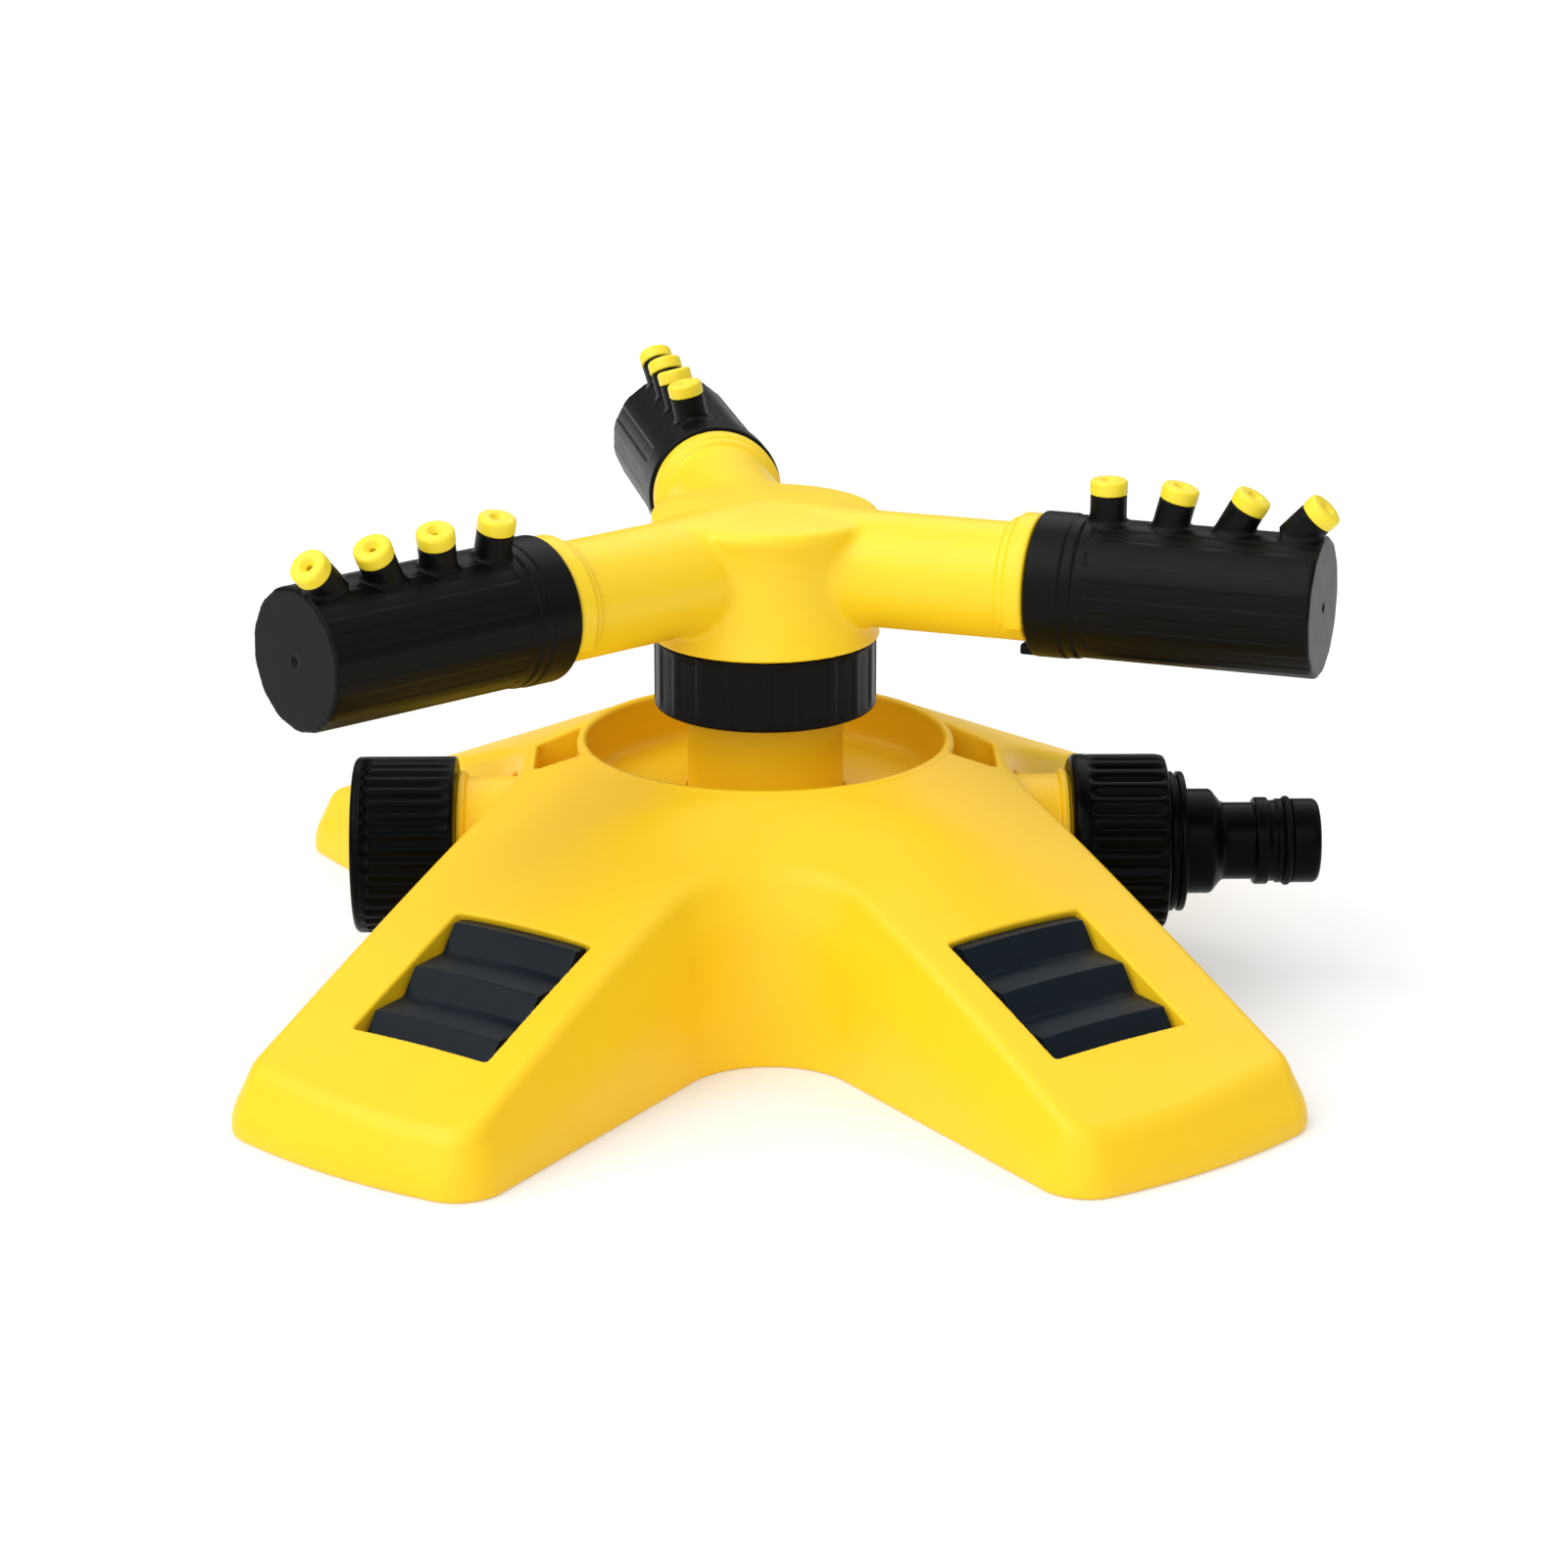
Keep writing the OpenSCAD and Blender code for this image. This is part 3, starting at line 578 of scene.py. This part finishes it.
def nozzle_tips(i, look):
    """Four pressed-in tips of sleeve i: a rounded button with a countersunk water hole, and its stem."""
    stem_r = NOZZLE_BORE - 0.02
    path = fillet([(WATER_HOLE, -3), (stem_r, -3, 0.2), (stem_r, 0), (TIP_R, 0, 0.35), (TIP_R, TIP_H, 0.75),
                   (1.5, TIP_H, 0.3), (WATER_HOLE, TIP_H - 1.0, 0.2)])
    own, faces = lathe(path, 40)
    spin = Matrix.Rotation(ARM_0 + SECTOR * (i - 1), 3, "Z") @ Matrix.Rotation(SLEEVE_TURN[i - 1], 3, "X")
    points, all_faces = [], []
    for k in range(NOZZLES):
        lean = NOZZLE_LEAN * k
        out = own[:, 2] + STUB_H + 0.02
        along = NOZZLE_FIRST + NOZZLE_PITCH * k + own[:, 0] * math.cos(lean) + out * math.sin(lean)
        up = SLEEVE_R - own[:, 0] * math.sin(lean) + out * math.cos(lean)
        points.append(np.stack([along, own[:, 1], up], 1) @ np.array(spin).T + [0, 0, ARM_Z])
        all_faces += [tuple(v + k * len(own) for v in f) for f in faces]
    piece(f"nozzle_tips_{i}_look", np.concatenate(points), all_faces, f"sleeve_{i}",
          [f"nozzle_tips_{i}"], look)


# ---------------------------------------------------------------- caps, nuts and nipple

def faded(z, z0, z1, run):
    """1 between z0 and z1, falling to 0 over run at both ends."""
    return np.clip((z - z0) / run, 0, 1) * np.clip((z1 - z) / run, 0, 1)


def end_cap(look):
    """Blind cap with fine ribs and a smooth rounded rim."""
    x0, x1 = CAP_X
    bore = PIPE_R + 0.05
    ribs_x = (x0 + 2.4, x1 - 0.9)
    outer = [(GRIP_R, x) for x in np.linspace(ribs_x[0] + 0.2, ribs_x[1] - 0.2, 14)]
    path = fillet([(0, x0), (GRIP_R, x0, 2.6), (GRIP_R, x0 + 2.62), *outer, (GRIP_R, x1 - 0.8), (GRIP_R, x1, 0.8),
                   (bore, x1, 0.3), (bore, PIPE_X[0] - 1.02), (0, PIPE_X[0] - 1.02)], closed=False)

    def ribs(angle, r, x):
        valley = (1 - np.abs(np.sin(CAP_RIBS / 2 * angle))) ** 1.2
        return 0.55 * valley * faded(x, *ribs_x, 0.8) * (r > GRIP_R - 0.5)

    points, faces = lathe(path, CAP_RIBS * 8, ribs)
    piece("end_cap_look", on_pipe(points), faces, "cap", ["end_cap"], look)


def hose_nut(look):
    """Coupling nut: a smooth collar, rope-like flutes, and a nose with two rings."""
    x0, x1 = NUT_X
    shoulder = x1 - 3.6
    wall = shoulder - 2
    bore, hole = PIPE_R + 0.05, 10.25
    flutes_x = (x0 + 3.2, shoulder - 0.4)
    outer = [(GRIP_R - 0.1, x) for x in np.linspace(flutes_x[0] + 0.1, flutes_x[1] - 1.4, 16)]
    path = fillet([(bore, x0, 0.3), (GRIP_R, x0, 1.5), (GRIP_R, x0 + 3.0), *outer,
                   (GRIP_R - 0.4, shoulder, 1.0), (12.9, shoulder, 0.2), (12.9, shoulder + 0.35, 0.1),
                   (13.6, shoulder + 0.35, 0.4), (13.6, shoulder + 1.6, 0.4),
                   (12.9, shoulder + 1.6, 0.2), (12.9, x1 - 1.4, 0.2), (13.6, x1 - 1.4, 0.4), (13.6, x1, 0.5),
                   (hole, x1, 0.3), (hole, wall), (bore, wall)])

    def flutes(angle, r, x):
        valley = 1 - np.abs(np.sin(NUT_FLUTES / 2 * angle)) ** 0.9
        return valley * faded(x, *flutes_x, 1.2) * (r > GRIP_R - 1.5)

    points, faces = lathe(path, NUT_FLUTES * 10, flutes)
    piece("hose_nut_look", on_pipe(points), faces, "nut", ["hose_nut"], look)


def hose_nipple(look, seal):
    """Push-on nipple with a snap neck, and the O-ring in its groove."""
    pipe_end = PIPE_X[1] + 1.02
    path = fillet([(5.5, pipe_end), (12.9, pipe_end), (12.9, pipe_end + 2.4), (10.2, pipe_end + 2.4),
                   (10.2, 86.4, 1.2), (7.5, 88.6, 1.6), (7.5, 94.6, 0.4), (8.5, 94.8, 0.6), (8.5, 97.4, 0.5),
                   (7.9, 97.7, 0.3), (7.9, 98.9, 0.3), (8.2, 99.1, 0.2), (8.2, 100.2, 0.2), (7, 100.2), (7, 102.1),
                   (8.2, 102.1, 0.2), (8.2, TIP_X, 1.3), (5.5, TIP_X, 0.5)])
    points, faces = lathe(path, 96)
    made = piece("hose_nipple_look", on_pipe(points), faces, "base", ["hose_nipple"], look)
    made.data.set_sharp_from_angle(angle=math.radians(50))
    a = np.arange(20) * 2 * math.pi / 20
    points, faces = lathe(np.stack([7.87 + 0.85 * np.cos(a), 101.15 + 0.85 * np.sin(a)], 1), 96)
    piece("nipple_o_ring_look", on_pipe(points), faces, "base", ["nipple_o_ring"], seal)


def collar_nut(look):
    """Collar under the hub, with shallow ribs and the stub of its moulding gate at the front."""
    z0, z1 = COLLAR_Z
    inner, seat = 19.42, FLANGE_Z[0] - 0.3
    outer = [(COLLAR_R, z) for z in np.linspace(z0 + 1.4, z1 - 1.0, 12)]
    path = fillet([(POST_R + 0.35, z0, 0.3), (COLLAR_R, z0, 1.2), *outer, (COLLAR_R, z1, 0.7), (inner, z1, 0.3),
                   (inner, seat), (POST_R + 0.35, seat)])

    def ribs(angle, r, z):
        s = (angle * COLLAR_RIBS / (2 * math.pi)) % 1
        low = np.clip(0.5 + (0.36 - np.abs(s - 0.5)) * 14, 0, 1)
        outside = r > COLLAR_R - 0.6
        from_front = (angle + math.radians(90) + math.pi) % (2 * math.pi) - math.pi
        gate = np.exp(-((from_front * COLLAR_R / 0.7) ** 2) - ((z - z0 - 1.1) / 0.7) ** 2)
        return outside * (0.3 * low * faded(z, z0 + 1.0, z1 - 0.5, 0.5) - 0.45 * gate)

    points, faces = lathe(path, COLLAR_RIBS * 18, ribs)
    piece("collar_nut_look", points, faces, "rotor", ["collar_nut"], look)


# ---------------------------------------------------------------- materials

def nodes_of(name):
    """A new node material, its tree and its shader."""
    look = bpy.data.materials.new(name)
    look.use_nodes = True
    return look, look.node_tree, look.node_tree.nodes["Principled BSDF"]


def moulded(name, pale, deep, rough, grain=0.06, mottle=60.0, sheen=0.3, metal=0.0):
    """Moulded plastic or rubber: colour that drifts slightly, uneven gloss and a fine moulded grain."""
    look, tree, shader = nodes_of(name)
    coords = tree.nodes.new("ShaderNodeTexCoord")

    def noise(scale, detail):
        made = tree.nodes.new("ShaderNodeTexNoise")
        made.inputs["Scale"].default_value = scale
        made.inputs["Detail"].default_value = detail
        tree.links.new(coords.outputs["Object"], made.inputs["Vector"])
        return made

    drift = noise(mottle, 3)
    mix = tree.nodes.new("ShaderNodeMix")
    mix.data_type = "RGBA"
    mix.inputs["A"].default_value = (*pale, 1)
    mix.inputs["B"].default_value = (*deep, 1)
    tree.links.new(drift.outputs["Fac"], mix.inputs["Factor"])
    tree.links.new(mix.outputs["Result"], shader.inputs["Base Color"])
    gloss = tree.nodes.new("ShaderNodeMapRange")
    gloss.inputs["To Min"].default_value = rough - 0.04
    gloss.inputs["To Max"].default_value = rough + 0.04
    tree.links.new(noise(220.0, 2).outputs["Fac"], gloss.inputs["Value"])
    tree.links.new(gloss.outputs["Result"], shader.inputs["Roughness"])
    grained = tree.nodes.new("ShaderNodeBump")
    grained.inputs["Strength"].default_value = grain
    grained.inputs["Distance"].default_value = 0.0002
    tree.links.new(noise(2600.0, 2).outputs["Fac"], grained.inputs["Height"])
    tree.links.new(grained.outputs["Normal"], shader.inputs["Normal"])
    shader.inputs["Specular IOR Level"].default_value = sheen
    shader.inputs["Metallic"].default_value = metal
    return look


LOOKS = {
    "base_plastic": moulded("base_plastic", (0.95, 0.61, 0.014), (0.92, 0.575, 0.010), 0.42, sheen=0.3),
    "rotor_plastic": moulded("rotor_plastic", (0.95, 0.67, 0.018), (0.92, 0.63, 0.014), 0.40, sheen=0.4),
    "tread_rubber": moulded("tread_rubber", (0.004, 0.009, 0.015), (0.002, 0.006, 0.010), 0.34, 0.12, 300.0, 0.10),
    "black_plastic": moulded("black_plastic", (0.0012, 0.0012, 0.0012), (0.0008, 0.0008, 0.0008), 0.3, sheen=0.05),
    "sleeve_plastic": moulded("sleeve_plastic", (0.004, 0.004, 0.004), (0.003, 0.003, 0.003), 0.36, sheen=0.09),
    "seal_rubber": moulded("seal_rubber", (0.002, 0.002, 0.002), (0.001, 0.001, 0.001), 0.45, 0.1, sheen=0.06),
    "tip_plastic": moulded("tip_plastic", (0.9, 0.72, 0.03), (0.88, 0.68, 0.025), 0.38, sheen=0.4),
    "bearing_plastic": moulded("bearing_plastic", (0.85, 0.84, 0.8), (0.8, 0.79, 0.76), 0.35),
    "filter_steel": moulded("filter_steel", (0.6, 0.6, 0.6), (0.5, 0.5, 0.5), 0.3, 0.05, 400.0, 0.5, 1.0),
    "screw_steel": moulded("screw_steel", (0.62, 0.62, 0.6), (0.52, 0.52, 0.5), 0.32, 0.05, 400.0, 0.5, 1.0),
}

# ---------------------------------------------------------------- the part

slots = {part["node"]: part["material_slot"] for part in frame["record"]["subparts"]}
for name, node in frame["nodes"].items():
    node.data.materials.clear()
    node.data.materials.append(LOOKS[slots[name]])
    node.data.shade_smooth()
    node.data.set_sharp_from_angle(angle=math.radians(35))

FINE = 0.55  # width of a field's cells
for node, field, spare, body, slot in (("base_shell", base_field, 1.2, "base", "base_plastic"),
                                       ("water_body", water_field, 1, "base", "base_plastic"),
                                       ("rotor_hub", hub_field, 1, "rotor", "rotor_plastic")):
    lo, hi = size(node)
    moulding(node + "_look", field, lo - spare, hi + spare, FINE, body, [node], LOOKS[slot])
for node, side_x, side_y in (("tread_front_left", -1, -1), ("tread_front_right", 1, -1),
                             ("tread_rear_left", -1, 1), ("tread_rear_right", 1, 1)):
    tread(node, side_x, side_y, LOOKS["tread_rubber"]).name = node + "_look"
moulding("sleeve_look", sleeve_field, (50, -15, -15), (109, 15, 20), FINE - 0.1, "sleeve", ["sleeve"],
         LOOKS["sleeve_plastic"],
         place=[(f"_{i}", SLEEVE_TURN[i - 1], ARM_0 + SECTOR * (i - 1), ARM_Z) for i in (1, 2, 3)])
for i in (1, 2, 3):
    nozzle_tips(i, LOOKS["tip_plastic"])
end_cap(LOOKS["black_plastic"])
hose_nut(LOOKS["black_plastic"])
hose_nipple(LOOKS["black_plastic"], LOOKS["seal_rubber"])
collar_nut(LOOKS["sleeve_plastic"])

# ---------------------------------------------------------------- stage, light and camera

REACH = 8.0  # half the floor's width, in metres
floor_mesh = bpy.data.meshes.new("floor")
floor_mesh.from_pydata([(-REACH, -REACH, 0), (REACH, -REACH, 0), (REACH, REACH, 0), (-REACH, REACH, 0)], [],
                       [(0, 1, 2, 3)])
floor = bpy.data.objects.new("floor", floor_mesh)
bpy.context.scene.collection.objects.link(floor)
paper, _, shader = nodes_of("paper")
shader.inputs["Base Color"].default_value = (0.7, 0.7, 0.7, 1)
shader.inputs["Roughness"].default_value = 0.9
shader.inputs["Specular IOR Level"].default_value = 0.0
shader.inputs["Emission Color"].default_value = (1, 1, 1, 1)
shader.inputs["Emission Strength"].default_value = 0.24
floor_mesh.materials.append(paper)

world = bpy.data.worlds.new("studio")
bpy.context.scene.world = world
world.use_nodes = True
world.node_tree.nodes["Background"].inputs["Color"].default_value = (1, 1, 1, 1)
world.node_tree.nodes["Background"].inputs["Strength"].default_value = 0.08
bpy.context.scene.view_settings.view_transform = "Standard"


def studio_light(name, toward, strength, spread):
    """A distant soft light that comes from a direction, as wide as spread in degrees."""
    light = bpy.data.lights.new(name, "SUN")
    light.energy = strength
    light.angle = math.radians(spread)
    obj = bpy.data.objects.new(name, light)
    bpy.context.scene.collection.objects.link(obj)
    obj.rotation_euler = (-Vector(toward)).to_track_quat("-Z", "Y").to_euler()


studio_light("key", (-0.62, -0.15, 0.76), 1.4, 60)
studio_light("front", (-0.4, -0.85, 0.45), 1.35, 80)
studio_light("back", (0.2, 0.6, 0.8), 0.55, 50)
studio_light("top", (0.1, 0, 1.2), 1.75, 140)

camera = bpy.data.objects.new("camera", bpy.data.cameras.new("camera"))
bpy.context.scene.collection.objects.link(camera)
bpy.context.scene.camera = camera
camera.data.sensor_width = 36
camera.data.lens = 93.96
camera.data.clip_start, camera.data.clip_end = 0.05, 30
camera.location = Vector((-7.6, -754.8, 278.9)) * MM
camera.rotation_euler = (Vector((3.58, -0.05, 38.58)) * MM - camera.location).to_track_quat("-Z", "Y").to_euler()
